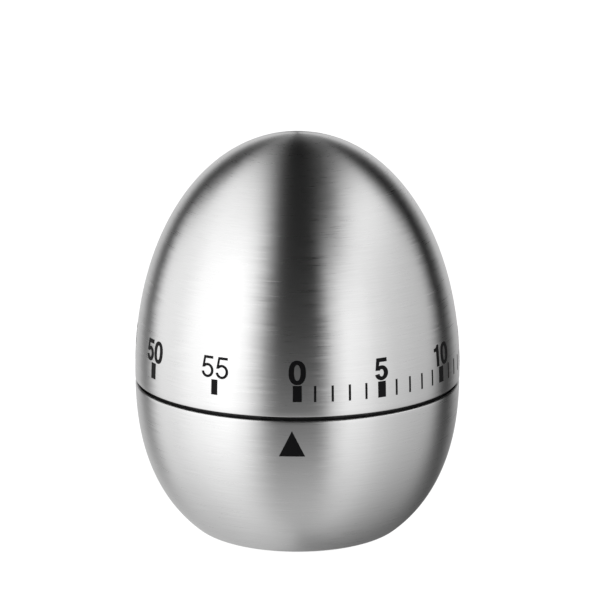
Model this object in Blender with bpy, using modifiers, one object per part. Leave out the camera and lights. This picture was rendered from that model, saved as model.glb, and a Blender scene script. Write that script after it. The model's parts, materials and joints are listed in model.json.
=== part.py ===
"""Egg-shaped clockwork kitchen timer, built in Blender 4.5 as an assembly of separate pieces.

The egg stands on a rubber ring, +Z up, with the origin in the middle of its footprint and the pointer
side facing -Y.  Its upper shell is the dial: it turns with the main arbor and winds the mainspring.  A
two-plate movement in the lower shell lets it run back through a gear train, a pin-pallet escapement and
a hammer that strikes a bell.  Sizes in this file are millimetres; MM turns them into Blender's metres.
"""

from math import atan2, cos, hypot, pi, radians, sin

import bmesh
import bpy
from mathutils import Matrix

MM = 0.001

# ---------------------------------------------------------------- outer form
EGG_RADIUS = 30.0          # at the equator
EGG_HEIGHT = 75.2
EQUATOR_Z = 30.7
UPPER_HALF = EGG_HEIGHT - EQUATOR_Z
UPPER_POWER = 2.08         # superellipse exponent of the upper half
LOWER_HALF = 34.6          # the lower half turns in at a rounded corner before it would close
LOWER_POWER = 2.37
CORNER_Z = 2.1             # where that corner starts
SEAM_LOW_Z = 29.1          # rim of the lower shell
SEAM_HIGH_Z = 29.85        # rim of the upper shell
SHEET = 0.5                # thickness of the steel shells
GAP = 0.3                  # play between pieces that rest on each other
LINER_INSET = SHEET + GAP
HOUSING_INSET = SHEET + 0.5
TURN_STEPS = 28            # facets round the large pieces
ROD_STEPS = 12             # facets round screws and pillars
PIN_STEPS = 8              # facets round the thin arbors, pins and posts

# ---------------------------------------------------------------- underside
FOLD_INNER = 14.8
COVER_RADIUS = FOLD_INNER - GAP
COVER_BOTTOM, COVER_TOP = 0.5, 1.9
LIP_BOTTOM, LIP_TOP, LIP_INNER = 2.2, 2.7, 13.6
FOOT_INNER, FOOT_OUTER, FOOT_TOP = 11.2, 13.2, 1.15
FLOOR_BOTTOM, FLOOR_TOP = 3.0, 4.4
COVER_SCREW_RADIUS = 9.2
COVER_SCREW_ANGLES = (90, 210, 330)

# ---------------------------------------------------------------- movement plates
PLATE_RADIUS = 23.5
LOWER_PLATE = (15.0, 16.2)
UPPER_PLATE = (26.2, 27.4)
PILLARS = ((85, 21.0), (206, 21.7), (320, 21.0))       # angle, distance from the centre
MOUNT_ANGLES = (110, 222, 350)
MOUNT_RADIUS = 21.0

# ---------------------------------------------------------------- gear train
MAIN_MODULE, FINE_MODULE = 0.45, 0.3
MAIN_TEETH, SECOND_TEETH, THIRD_TEETH, PINION_TEETH = 48, 60, 56, 8
ESCAPE_TEETH, ESCAPE_TIP = 20, 4.6
STAR_TEETH, STAR_TIP = 10, 4.2
# tooth shape: addendum and dedendum in modules, then half widths in half pitches at tip and root
WHEEL_TOOTH = (0.9, 1.2, 0.16, 0.58)
PINION_TOOTH = (0.65, 1.3, 0.18, 0.46)


def polar(radius, degrees, centre=(0.0, 0.0)):
    """The point at a distance and angle from a centre."""
    return (centre[0] + radius * cos(radians(degrees)), centre[1] + radius * sin(radians(degrees)))


def bearing(start, end):
    """Angle of the line from one point to another, in degrees."""
    return atan2(end[1] - start[1], end[0] - start[0]) * 180 / pi


MAIN_MESH = MAIN_MODULE * (MAIN_TEETH + PINION_TEETH) / 2
SECOND_MESH = FINE_MODULE * (SECOND_TEETH + PINION_TEETH) / 2
THIRD_MESH = FINE_MODULE * (THIRD_TEETH + PINION_TEETH) / 2
CENTRE = (0.0, 0.0)
SECOND = polar(MAIN_MESH, 180)
THIRD = polar(SECOND_MESH, 75, SECOND)
ESCAPE = polar(THIRD_MESH, 28.5, THIRD)
PALLET = polar(6.6, -7, ESCAPE)
STRIKE = polar(10.6, -80, SECOND)
TRIP = (7.75, -13.4)

# ---------------------------------------------------------------- dial, click, trip and strike work
HUB_FLAT = 1.3             # distance of the arbor's flat from its axis
DIAL_STOP_RADIUS = 21.5
DIAL_STOP_ANGLE = 270
DIAL_STOP_PLAY = 3.0       # degrees between lug and post at either end of the turn
CLICK_ANGLE = 300          # where the click's nose meets the ratchet
RATCHET_TEETH, RATCHET_TIP, RATCHET_ROOT = 12, 4.5, 3.6
CAM_RADIUS, NOTCH_RADIUS = 8.5, 6.9
TRIP_ANGLE = 325           # cam angle under the trip lever's nose
PALLET_PIN_CIRCLE, PALLET_PIN_ANGLE = 4.88, 40.5
STRIKE_PIN_CIRCLE, STRIKE_PIN_ANGLE = 4.65, 27.0
BELL_RADIUS, BELL_RIM_Z, BELL_HEIGHT = 12.6, 8.0, 5.8
HAMMER_RADIUS, HAMMER_PLACE, HAMMER_Z = 1.6, (14.8, 247.3), (8.4, 11.0)
SPRING_INNER, SPRING_OUTER, SPRING_TURNS = 3.4, 13.6, 4.6
SPRING_Z = (28.4, 33.2)

FINISHES = {
    "brushed_steel": ((0.60, 0.59, 0.57), 0.32, 1.0),
    "movement_steel": ((0.50, 0.50, 0.50), 0.30, 1.0),
    "spring_steel": ((0.16, 0.18, 0.24), 0.28, 1.0),
    "brass": ((0.72, 0.50, 0.18), 0.30, 1.0),
    "bell_metal": ((0.66, 0.66, 0.68), 0.18, 1.0),
    "zinc_plate": ((0.55, 0.56, 0.58), 0.38, 1.0),
    "black_abs": ((0.018, 0.018, 0.020), 0.45, 0.0),
    "white_acetal": ((0.78, 0.77, 0.72), 0.40, 0.0),
    "rubber": ((0.030, 0.030, 0.032), 0.80, 0.0),
}


# ---------------------------------------------------------------- scene helpers
def clear_scene():
    for item in list(bpy.data.objects):
        bpy.data.objects.remove(item, do_unlink=True)


def make_collection(name):
    group = bpy.data.collections.new(name)
    bpy.context.scene.collection.children.link(group)
    return group


def make_material(name):
    colour, roughness, metallic = FINISHES[name]
    finish = bpy.data.materials.new(name)
    finish.use_nodes = True
    shader = finish.node_tree.nodes["Principled BSDF"]
    shader.inputs["Base Color"].default_value = (*colour, 1.0)
    shader.inputs["Roughness"].default_value = roughness
    shader.inputs["Metallic"].default_value = metallic
    finish.diffuse_color = (*colour, 1.0)
    return finish


def axis_empty(name, centre):
    """An empty on a vertical joint axis, the parent of everything that turns about it."""
    empty = bpy.data.objects.new(name, None)
    empty.location = (centre[0] * MM, centre[1] * MM, 0.0)
    empty.empty_display_size = 0.004
    PARTS.objects.link(empty)
    return empty


def place(name, data, finish, axis=None, location=(0.0, 0.0, 0.0)):
    """Add one piece in its own finish, under its joint's empty if it moves."""
    piece = bpy.data.objects.new(name, data)
    piece.location = [value * MM for value in location]
    piece.parent = axis
    material = make_material(finish)
    material.name = name + "_" + finish
    data.materials.append(material)
    PARTS.objects.link(piece)
    return piece


def hide_cutter(name, data, axis=None, location=(0.0, 0.0, 0.0)):
    """Add a shape that only cuts or joins another piece."""
    cutter = bpy.data.objects.new(name, data)
    cutter.location = [value * MM for value in location]
    cutter.parent = axis
    cutter.hide_render = True
    cutter.display_type = "WIRE"
    CUTTERS.objects.link(cutter)
    return cutter


def boolean(piece, tool, operation):
    modifier = piece.modifiers.new(operation.title(), "BOOLEAN")
    modifier.operation = operation
    modifier.object = tool


# ---------------------------------------------------------------- shape helpers
def superellipse(radius, half, power, low, high, count):
    """(radius, height) points of a superellipse about height 0, from `high` down to `low`."""
    def angle(height):
        sine = (abs(height) / half) ** (power / 2)
        return atan2(sine, (1 - sine * sine) ** 0.5) * (1 if height >= 0 else -1)
    start, end = angle(high), angle(low)
    points = []
    for step in range(count + 1):
        turn = start + (end - start) * step / count
        height = half * abs(sin(turn)) ** (2 / power) * (1 if turn >= 0 else -1)
        points.append((radius * max(cos(turn), 0.0) ** (2 / power), height))
    return points


def upper_curve(inset, low, count):
    """The upper half's outline from the apex down to `low`, moved inward by `inset`."""
    points = superellipse(EGG_RADIUS - inset, UPPER_HALF - inset, UPPER_POWER, low - EQUATOR_Z,
                          UPPER_HALF - inset, count)
    return [(radius, EQUATOR_Z + height) for radius, height in points]


def lower_curve(inset, low, high, count):
    """The lower half's outline from `high` down to `low`, moved inward by `inset`."""
    points = superellipse(EGG_RADIUS - inset, LOWER_HALF - inset, LOWER_POWER, low - EQUATOR_Z,
                          high - EQUATOR_Z, count)
    return [(radius, EQUATOR_Z + height) for radius, height in points]


def turned_mesh(name, profile):
    """The mesh line of a profile in the XZ plane, closed unless both ends lie on the axis."""
    mesh = bpy.data.meshes.new(name)
    verts = [(radius * MM, 0.0, height * MM) for radius, height in profile]
    edges = [(index, index + 1) for index in range(len(verts) - 1)]
    if profile[0][0] > 0:
        edges.append((len(verts) - 1, 0))
    mesh.from_pydata(verts, edges, [])
    return mesh


def turn(piece, steps):
    screw = piece.modifiers.new("Turned", "SCREW")
    screw.steps = steps
    screw.render_steps = steps
    screw.use_merge_vertices = True
    screw.merge_threshold = 0.000001
    screw.use_smooth_shade = True
    return piece


def turned(name, profile, finish, steps=TURN_STEPS, axis=None, centre=CENTRE):
    """A turned piece from a profile that runs down its outer side."""
    location = (*centre, 0.0)
    return turn(place(name, turned_mesh(name, profile), finish, axis, location), steps)


def stepped_rod(levels):
    """Profile of a rod from (radius, top) steps in falling order, ending with the bottom height."""
    profile = [(0.0, levels[0][1])]
    for (radius, top), (_, below) in zip(levels, levels[1:]):
        profile += [(radius, top), (radius, below)]
    profile.append((0.0, levels[-1][1]))
    return profile


def ring_points(radius, count, centre=CENTRE, phase=0.0):
    """A regular polygon's corners, for round holes and rims."""
    return [polar(radius, phase + 360 * step / count, centre) for step in range(count)]


def arc(centre, radius, start, end, count):
    """Points on an arc from one angle to another."""
    return [polar(radius, start + (end - start) * step / count, centre) for step in range(count + 1)]


def flat_curve(name, loops, thickness):
    """A flat plate as a filled 2D curve: an outline first, then its holes."""
    curve = bpy.data.curves.new(name, "CURVE")
    curve.dimensions = "2D"
    curve.fill_mode = "BOTH"
    curve.extrude = thickness * MM / 2
    for loop in loops:
        spline = curve.splines.new("POLY")
        spline.points.add(len(loop) - 1)
        for point, (x, y) in zip(spline.points, loop):
            point.co = (x * MM, y * MM, 0.0, 1.0)
        spline.use_cyclic_u = True
    return curve


def flat(name, loops, level, finish, axis=None):
    """A flat piece between the two heights of `level`."""
    bottom, top = level
    curve = flat_curve(name, loops, top - bottom)
    return place(name, curve, finish, axis, (0.0, 0.0, (bottom + top) / 2))


def wire(name, points, radius, finish, axis=None):
    """A bent wire through its points."""
    curve = bpy.data.curves.new(name, "CURVE")
    curve.dimensions = "3D"
    curve.bevel_depth = radius * MM
    curve.bevel_resolution = 1
    curve.use_fill_caps = True
    spline = curve.splines.new("POLY")
    spline.points.add(len(points) - 1)
    for point, place_in_space in zip(spline.points, points):
        point.co = (*[value * MM for value in place_in_space], 1.0)
    return place(name, curve, finish, axis)


def solids(name, shapes):
    """One mesh of separate upright solids: each is (sides, radius, x, y, bottom, top)."""
    build = bmesh.new()
    for sides, radius, x, y, bottom, top in shapes:
        move = Matrix.Translation((x * MM, y * MM, (bottom + top) * MM / 2))
        bmesh.ops.create_cone(build, cap_ends=True, segments=sides, radius1=radius * MM,
                              radius2=radius * MM, depth=(top - bottom) * MM, matrix=move)
    mesh = bpy.data.meshes.new(name)
    build.to_mesh(mesh)
    build.free()
    return mesh


def blocks(name, boxes):
    """One mesh of separate boxes: each is (length, width, height, distance, degrees, middle height)."""
    build = bmesh.new()
    for length, width, height, distance, degrees, middle in boxes:
        turn_to = Matrix.Rotation(radians(degrees), 4, "Z")
        move = Matrix.Translation((distance * MM, 0.0, middle * MM))
        size = Matrix.Diagonal((length * MM, width * MM, height * MM, 1.0))
        bmesh.ops.create_cube(build, size=1.0, matrix=turn_to @ move @ size)
    mesh = bpy.data.meshes.new(name)
    build.to_mesh(mesh)
    build.free()
    return mesh


def gear_outline(teeth, module, tooth, facing):
    """A gear's outline, with the middle of one tooth at the angle `facing` in degrees."""
    addendum, dedendum, at_tip, at_root = tooth
    pitch_radius = module * teeth / 2
    root, tip = pitch_radius - dedendum * module, pitch_radius + addendum * module
    half_pitch = 180 / teeth
    return pointed_outline(teeth, root, tip, at_root * half_pitch, at_tip * half_pitch, facing)


def pointed_outline(teeth, root, tip, root_half, tip_half, facing):
    """A star or escape wheel's outline; the half widths are degrees at root and tip."""
    pitch = 360 / teeth
    flank = ((-root_half, root), (-tip_half, tip), (tip_half, tip), (root_half, root))
    return [polar(radius, facing + pitch * index + share)
            for index in range(teeth) for share, radius in flank]


# ---------------------------------------------------------------- shells and mouldings
def dial_shell():
    outer = upper_curve(0.0, EQUATOR_Z, 12)
    rim = [(EGG_RADIUS - 0.02, SEAM_HIGH_Z), (EGG_RADIUS - 0.02 - SHEET, SEAM_HIGH_Z)]
    inner = upper_curve(SHEET, EQUATOR_Z, 8)[::-1]
    turned("dial_shell", outer + rim + inner, "brushed_steel", axis=DIAL_AXIS)


def base_shell():
    outer = lower_curve(0.0, CORNER_Z, SEAM_LOW_Z, 7)
    corner = [(FOLD_INNER + step, z) for step, z in
              ((3.7, 1.42), (2.4, 0.98), (1.2, 0.78), (0.5, 0.74), (0.15, 0.8), (0.0, 1.0))]
    lip = [(FOLD_INNER, LIP_BOTTOM), (LIP_INNER, LIP_BOTTOM), (LIP_INNER, LIP_TOP)]
    inside = [(FOLD_INNER + step, z) for step, z in
              ((SHEET, LIP_TOP), (SHEET, 1.3), (1.35, 1.3), (2.3, 1.47), (3.5, 1.86))]
    inner = lower_curve(SHEET, CORNER_Z + 0.3, SEAM_LOW_Z, 7)[::-1]
    turned("base_shell", outer + corner + lip + inside + inner, "brushed_steel")


def dial_liner():
    skirt = 1.4
    skirt_outer = upper_curve(LINER_INSET, 40.0, 24)
    top_radius = skirt_outer[-1][0]
    web_bottom, web_top, hub_top, hub_radius = 35.0, 36.6, 45.0, 4.2
    profile = [(0.0, hub_top), (hub_radius, hub_top), (hub_radius, web_top),
               (top_radius - skirt, web_top), (top_radius - skirt, 40.0), (top_radius, 40.0),
               (EGG_RADIUS - 1.0, 34.0), (EGG_RADIUS - 1.05, SEAM_HIGH_Z + 0.05),
               (EGG_RADIUS - 1.05 - skirt, SEAM_HIGH_Z + 0.05), (EGG_RADIUS - 1.0 - skirt, web_bottom),
               (hub_radius, web_bottom), (hub_radius, web_bottom - 0.6), (0.0, web_bottom - 0.6)]
    liner = turned("dial_liner", profile, "black_abs", axis=DIAL_AXIS)
    ribs = [(20.6, 1.2, 3.0, 15.0, 60 * index, web_top + 1.2) for index in range(6)]
    boolean(liner, hide_cutter("liner_ribs", blocks("liner_ribs", ribs), DIAL_AXIS), "UNION")
    lug = [(2.0, 0.9, 5.2, DIAL_STOP_RADIUS, DIAL_STOP_ANGLE - DIAL_STOP_PLAY, 32.8)]
    boolean(liner, hide_cutter("liner_stop_lug", blocks("liner_stop_lug", lug), DIAL_AXIS), "UNION")
    bore = flat_curve("liner_bore", [d_outline(2.12, HUB_FLAT + 0.12)], 14.0)
    boolean(liner, curve_cutter("liner_bore", bore, DIAL_AXIS, 40.0), "DIFFERENCE")


def d_outline(radius, flat_distance):
    """A round section with one flat on its +X side."""
    half = atan2((radius * radius - flat_distance * flat_distance) ** 0.5, flat_distance) * 180 / pi
    return arc(CENTRE, radius, half, 360 - half, 14)


def curve_cutter(name, curve, axis, middle):
    """A flat curve turned into a welded mesh, so that it can cut."""
    source = bpy.data.objects.new(name + "_outline", curve)
    PARTS.objects.link(source)
    bpy.context.view_layer.update()
    graph = bpy.context.evaluated_depsgraph_get()
    mesh = bpy.data.meshes.new_from_object(source.evaluated_get(graph))
    bpy.data.objects.remove(source, do_unlink=True)
    weld = bmesh.new()
    weld.from_mesh(mesh)
    bmesh.ops.remove_doubles(weld, verts=weld.verts, dist=0.000001)
    weld.to_mesh(mesh)
    weld.free()
    return hide_cutter(name, mesh, axis, (0.0, 0.0, middle))


def base_housing():
    wall, spigot_radius = 1.6, EGG_RADIUS - 1.25
    spigot_top, shoulder = SEAM_HIGH_Z - 0.25, SEAM_LOW_Z - 0.3
    outer = lower_curve(HOUSING_INSET, FLOOR_BOTTOM, shoulder, 7)
    inner = lower_curve(HOUSING_INSET + wall, FLOOR_TOP, shoulder, 5)[::-1]
    profile = ([(spigot_radius, spigot_top), (spigot_radius, shoulder)] + outer
               + [(6.8, FLOOR_BOTTOM), (6.8, FLOOR_TOP)] + inner
               + [(inner[-1][0], spigot_top)])
    housing = turned("base_housing", profile, "black_abs")
    posts = [(8, 2.0, *polar(COVER_SCREW_RADIUS, angle), COVER_TOP + GAP, 7.5)
             for angle in COVER_SCREW_ANGLES]
    posts += [(8, 2.3, *polar(MOUNT_RADIUS, angle), 8.5, LOWER_PLATE[0] - GAP)
              for angle in MOUNT_ANGLES]
    boolean(housing, hide_cutter("housing_bosses", solids("housing_bosses", posts)), "UNION")
    webs = [(3.0, 1.2, 3.0, MOUNT_RADIUS + 2.3, angle, 12.1) for angle in MOUNT_ANGLES]
    boolean(housing, hide_cutter("housing_webs", blocks("housing_webs", webs)), "UNION")
    bores = [(8, 0.95, *polar(COVER_SCREW_RADIUS, angle), 1.0, 7.1) for angle in COVER_SCREW_ANGLES]
    bores += [(8, 0.95, *polar(MOUNT_RADIUS, angle), 10.0, 16.0) for angle in MOUNT_ANGLES]
    boolean(housing, hide_cutter("housing_bores", solids("housing_bores", bores)), "DIFFERENCE")


def bottom_cover():
    groove_inner, groove_outer, groove_top = FOOT_INNER - GAP, FOOT_OUTER + GAP, FOOT_TOP + GAP
    register = LIP_INNER - GAP
    profile = [(0.0, COVER_TOP), (register - 1.1, COVER_TOP), (register - 1.1, LIP_TOP),
               (register, LIP_TOP), (register, COVER_TOP), (COVER_RADIUS, COVER_TOP),
               (COVER_RADIUS, COVER_BOTTOM + 0.3), (COVER_RADIUS - 0.3, COVER_BOTTOM),
               (groove_outer, COVER_BOTTOM), (groove_outer, groove_top), (groove_inner, groove_top),
               (groove_inner, COVER_BOTTOM), (0.0, COVER_BOTTOM)]
    cover = turned("bottom_cover", profile, "black_abs")
    slots = [(4.0, 1.2, 4.0, 4.7, 15 + 30 * index, 1.0) for index in range(12)]
    boolean(cover, hide_cutter("sound_slots", blocks("sound_slots", slots)), "DIFFERENCE")
    for radius, top, name in ((1.95, 1.3, "cover_recesses"), (1.0, 3.0, "cover_holes")):
        holes = [(ROD_STEPS, radius, *polar(COVER_SCREW_RADIUS, angle), -1.0, top)
                 for angle in COVER_SCREW_ANGLES]
        boolean(cover, hide_cutter(name, solids(name, holes)), "DIFFERENCE")


def foot_ring():
    edge = 0.2
    profile = [(FOOT_OUTER, FOOT_TOP), (FOOT_OUTER, edge), (FOOT_OUTER - edge, 0.0),
               (FOOT_INNER + edge, 0.0), (FOOT_INNER, edge), (FOOT_INNER, FOOT_TOP)]
    turned("foot_ring", profile, "rubber")


def screw(name, head, shank, centre, slot_side):
    """A slotted screw; head and shank are (radius, one end, other end) in falling order."""
    (head_radius, head_top, head_bottom), (shank_radius, shank_top, shank_bottom) = head, shank
    levels = sorted(((head_top, head_bottom, head_radius), (shank_top, shank_bottom, shank_radius)),
                    reverse=True)
    steps = [(radius, top) for top, _, radius in levels] + [(0.0, levels[-1][1])]
    piece = turned(name, stepped_rod(steps), "zinc_plate", ROD_STEPS, centre=centre)
    slot = blocks(name + "_slot", [(2.4 * head_radius, 0.4, 0.7, 0.0, 35, slot_side)])
    boolean(piece, hide_cutter(name + "_slot", slot, location=(*centre, 0.0)), "DIFFERENCE")


def cover_screws():
    for index, angle in enumerate(COVER_SCREW_ANGLES):
        screw(f"cover_screw_{index + 1}", (1.65, 1.2, 0.5), (0.8, 6.8, 1.2),
              polar(COVER_SCREW_RADIUS, angle), 0.5)


def mount_screws():
    for index, angle in enumerate(MOUNT_ANGLES):
        screw(f"mount_screw_{index + 1}", (1.5, 17.3, 16.3), (0.8, 16.3, 10.4),
              polar(MOUNT_RADIUS, angle), 17.3)


# ---------------------------------------------------------------- movement frame
PIVOT_HOLES = ((SECOND, 0.55), (THIRD, 0.45), (ESCAPE, 0.45), (PALLET, 0.45), (STRIKE, 0.75))
SPRING_POST = polar(15.4, 40)
STOP_POST = polar(DIAL_STOP_RADIUS, DIAL_STOP_ANGLE)
TRIP_SPRING_FOOT = (2.4, -9.9)


def lower_plate():
    holes = [(CENTRE, 1.3), *PIVOT_HOLES, (TRIP, 0.75), (TRIP_SPRING_FOOT, 0.4)]
    holes += [(polar(radius, angle), 1.0) for angle, radius in PILLARS]
    holes += [(polar(MOUNT_RADIUS, angle), 1.0) for angle in MOUNT_ANGLES]
    loops = [ring_points(PLATE_RADIUS, TURN_STEPS)]
    loops += [ring_points(radius, ROD_STEPS, centre) for centre, radius in holes]
    flat("lower_plate", loops, LOWER_PLATE, "zinc_plate")


def upper_plate():
    holes = [(CENTRE, 2.15), *PIVOT_HOLES, (SPRING_POST, 0.8), (STOP_POST, 0.6)]
    holes += [(polar(radius, angle), 1.0) for angle, radius in PILLARS]
    holes += [(polar(MOUNT_RADIUS, angle), 1.75) for angle in MOUNT_ANGLES]
    loops = [ring_points(PLATE_RADIUS, TURN_STEPS)]
    loops += [ring_points(radius, ROD_STEPS, centre) for centre, radius in holes]
    flat("upper_plate", loops, UPPER_PLATE, "zinc_plate")


def pillars():
    stub, shoulder, stud_top = 0.9, 1.4, 29.6
    levels = [(stub, stud_top), (shoulder, UPPER_PLATE[0] - 0.1), (stub, LOWER_PLATE[1] + 0.1),
              (0.0, LOWER_PLATE[0])]
    for index, (angle, radius) in enumerate(PILLARS):
        centre = polar(radius, angle)
        turned(f"pillar_{index + 1}", stepped_rod(levels), "brass", ROD_STEPS, centre=centre)
        loops = [ring_points(2.2, 6, centre, angle), ring_points(1.0, ROD_STEPS, centre)]
        flat(f"pillar_nut_{index + 1}", loops, (UPPER_PLATE[1] + 0.1, 29.2), "zinc_plate")


def posts_on_plates():
    spring = [(1.3, SPRING_Z[1] + 0.6), (0.9, SPRING_Z[1] + 0.1), (1.2, SPRING_Z[0] - 0.2),
              (0.7, UPPER_PLATE[1] + 0.1), (0.0, UPPER_PLATE[0])]
    turned("spring_post", stepped_rod(spring), "movement_steel", PIN_STEPS, centre=SPRING_POST)
    stop = [(0.5, 33.5), (0.0, UPPER_PLATE[0])]
    turned("stop_post", stepped_rod(stop), "movement_steel", PIN_STEPS, centre=STOP_POST)
    trip = [(1.3, 17.9), (0.8, 17.55), (1.2, 16.6), (0.6, LOWER_PLATE[1] + 0.1), (0.0, LOWER_PLATE[0])]
    turned("trip_pivot_post", stepped_rod(trip), "movement_steel", PIN_STEPS, centre=TRIP)


def spiral_path():
    """Middle line of the mainspring: a spiral, then a hook round its post."""
    last = bearing(CENTRE, SPRING_POST) - 14
    count = 62
    path = []
    for step in range(count + 1):
        share = step / count
        radius = SPRING_INNER + (SPRING_OUTER - SPRING_INNER) * share
        path.append(polar(radius, last - 360 * SPRING_TURNS * (1 - share)))
    facing = bearing(SPRING_POST, CENTRE)
    return path + arc(SPRING_POST, 1.35, facing + 25, facing - 205, 7)


def strip_outline(path, thickness):
    """A strip of even thickness along a path."""
    left, right = [], []
    for index, (x, y) in enumerate(path):
        before, after = path[max(index - 1, 0)], path[min(index + 1, len(path) - 1)]
        along = hypot(after[0] - before[0], after[1] - before[1])
        across = ((before[1] - after[1]) / along, (after[0] - before[0]) / along)
        left.append((x + across[0] * thickness / 2, y + across[1] * thickness / 2))
        right.append((x - across[0] * thickness / 2, y - across[1] * thickness / 2))
    return left + right[::-1]


def mainspring():
    flat("mainspring", [strip_outline(spiral_path(), 0.4)], SPRING_Z, "spring_steel")


# ---------------------------------------------------------------- bell
def bell_curve(inset, count):
    points = superellipse(BELL_RADIUS - inset, BELL_HEIGHT - inset, 3.0, 0.0, BELL_HEIGHT - inset, count)
    return [(radius, BELL_RIM_Z + height) for radius, height in points[1:]]


def bell():
    wall, hole = 0.8, 1.1
    crown = BELL_RIM_Z + BELL_HEIGHT
    profile = ([(hole, crown)] + bell_curve(0.0, 6) + bell_curve(wall, 5)[::-1]
               + [(hole, crown - wall)])
    turned("bell", profile, "bell_metal", 24)


def bell_fixings():
    post = [(3.0, 14.75), (0.9, 14.2), (0.0, 10.9)]
    turned("bell_post", stepped_rod(post), "zinc_plate", 16)
    flat("bell_nut", [ring_points(2.3, 6), ring_points(1.05, 16)], (11.3, 12.8), "zinc_plate")


# ---------------------------------------------------------------- dial body
def main_arbor():
    pivot, body, groove, hub = 1.15, 2.0, 1.55, 2.6
    levels = [(body, 45.0 - GAP), (hub, 33.4), (body, 28.05), (groove, 27.95), (body, 27.45),
              (pivot, LOWER_PLATE[1] + 0.2), (0.0, LOWER_PLATE[0])]
    arbor = turned("main_arbor", stepped_rod(levels), "movement_steel", 16, DIAL_AXIS)
    flat_cut = blocks("arbor_flat", [(4.0, 8.0, 12.0, HUB_FLAT + 2.0, 0, 40.4)])
    boolean(arbor, hide_cutter("arbor_flat", flat_cut, DIAL_AXIS), "DIFFERENCE")


def arbor_clip():
    outline = arc(CENTRE, 3.2, 50, 310, 16) + arc(CENTRE, 1.66, 310, 50, 12)
    flat("arbor_clip", [outline], (27.55, 27.85), "spring_steel", DIAL_AXIS)


def cam_disc():
    notch_start, notch_floor_end, ramp_end = TRIP_ANGLE - 16, TRIP_ANGLE + 1, TRIP_ANGLE + 9
    rim = arc(CENTRE, CAM_RADIUS, ramp_end, notch_start + 359.5, 36)
    floor = arc(CENTRE, NOTCH_RADIUS, notch_start, notch_floor_end, 3)
    flat("cam_disc", [rim + floor, ring_points(2.08, 16)], (16.8, 17.6), "brass", DIAL_AXIS)


def ratchet_wheel():
    pitch = 360 / RATCHET_TEETH
    first = CLICK_ANGLE - 4
    outline = []
    for index in range(RATCHET_TEETH):
        outline += [polar(RATCHET_TIP, first + pitch * index),
                    polar(RATCHET_ROOT, first + pitch * index + 1.5)]
    flat("ratchet_wheel", [outline, ring_points(2.08, 16)], (19.4, 20.2), "movement_steel", DIAL_AXIS)


# ---------------------------------------------------------------- main wheel with its click
CLICK_REACH = (3.9, 6.4)   # the click's pivot, along and across the line to its nose
CLICK_PIVOT = polar(hypot(*CLICK_REACH), CLICK_ANGLE + bearing(CENTRE, CLICK_REACH))
CLICK_LEVEL = (19.4, 20.2)


def turned_to(point, degrees):
    """A point turned about the centre."""
    return polar(hypot(*point), degrees + bearing(CENTRE, point))


def main_wheel():
    loops = [gear_outline(MAIN_TEETH, MAIN_MODULE, WHEEL_TOOTH, 180), ring_points(2.15, 16),
             ring_points(0.6, ROD_STEPS, CLICK_PIVOT)]
    flat("main_wheel", loops, (18.0, 19.0), "brass", MAIN_AXIS)
    rivet = [(0.95, 20.32), (0.5, 20.26), (0.0, 18.0)]
    turned("click_rivet", stepped_rod(rivet), "movement_steel", PIN_STEPS, MAIN_AXIS, CLICK_PIVOT)
    path = [((8.1, -1.6), 19.2), ((8.1, -1.6), 19.7), ((6.4, -0.6), 19.8), ((5.75, 1.6), 19.8)]
    points = [(*turned_to(point, CLICK_ANGLE), height) for point, height in path]
    wire("click_spring", points, 0.18, "spring_steel", MAIN_AXIS)


def click():
    eye = arc(CLICK_REACH, 1.15, 5, 200, 8)
    outline = [(3.8, 0.02), (4.7, -0.02), (5.3, 2.0)] + eye + [(4.25, 2.0)]
    local = [turned_to(point, CLICK_ANGLE) for point in outline]
    shifted = [(x - CLICK_PIVOT[0], y - CLICK_PIVOT[1]) for x, y in local]
    flat("click", [shifted, ring_points(0.62, ROD_STEPS)], CLICK_LEVEL, "movement_steel", CLICK_AXIS)


# ---------------------------------------------------------------- train
def second_arbor_group():
    rod = [(0.45, UPPER_PLATE[1]), (0.8, 26.0), (0.45, 16.4), (0.0, LOWER_PLATE[0])]
    turned("second_arbor", stepped_rod(rod), "movement_steel", PIN_STEPS, SECOND_AXIS)
    pinion = gear_outline(PINION_TEETH, MAIN_MODULE, PINION_TOOTH, 180 / PINION_TEETH)
    flat("second_pinion", [pinion, ring_points(0.88, ROD_STEPS)], (17.6, 19.4), "brass", SECOND_AXIS)
    wheel = gear_outline(SECOND_TEETH, FINE_MODULE, WHEEL_TOOTH, bearing(SECOND, THIRD))
    flat("second_wheel", [wheel, ring_points(0.88, ROD_STEPS)], (20.6, 21.4), "brass", SECOND_AXIS)
    star = pointed_outline(STAR_TEETH, 2.6, STAR_TIP, 12.0, 3.0, bearing(SECOND, STRIKE))
    flat("strike_star", [star, ring_points(0.88, ROD_STEPS)], (24.2, 25.0), "brass", SECOND_AXIS)


def fine_arbor(name, axis, top=UPPER_PLATE[1], bottom=LOWER_PLATE[0]):
    rod = [(0.35, top), (0.5, 26.0), (0.35, 16.4), (0.0, bottom)]
    turned(name, stepped_rod(rod), "movement_steel", PIN_STEPS, axis)


def fine_pinion(name, axis, start, end, level):
    facing = bearing(end, start) + 180 / PINION_TEETH
    outline = gear_outline(PINION_TEETH, FINE_MODULE, PINION_TOOTH, facing)
    flat(name, [outline, ring_points(0.57, ROD_STEPS)], level, "brass", axis)


def third_arbor_group():
    fine_arbor("third_arbor", THIRD_AXIS)
    fine_pinion("third_pinion", THIRD_AXIS, SECOND, THIRD, (20.2, 21.8))
    wheel = gear_outline(THIRD_TEETH, FINE_MODULE, WHEEL_TOOTH, bearing(THIRD, ESCAPE))
    flat("third_wheel", [wheel, ring_points(0.58, ROD_STEPS)], (23.0, 23.8), "brass", THIRD_AXIS)


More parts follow.
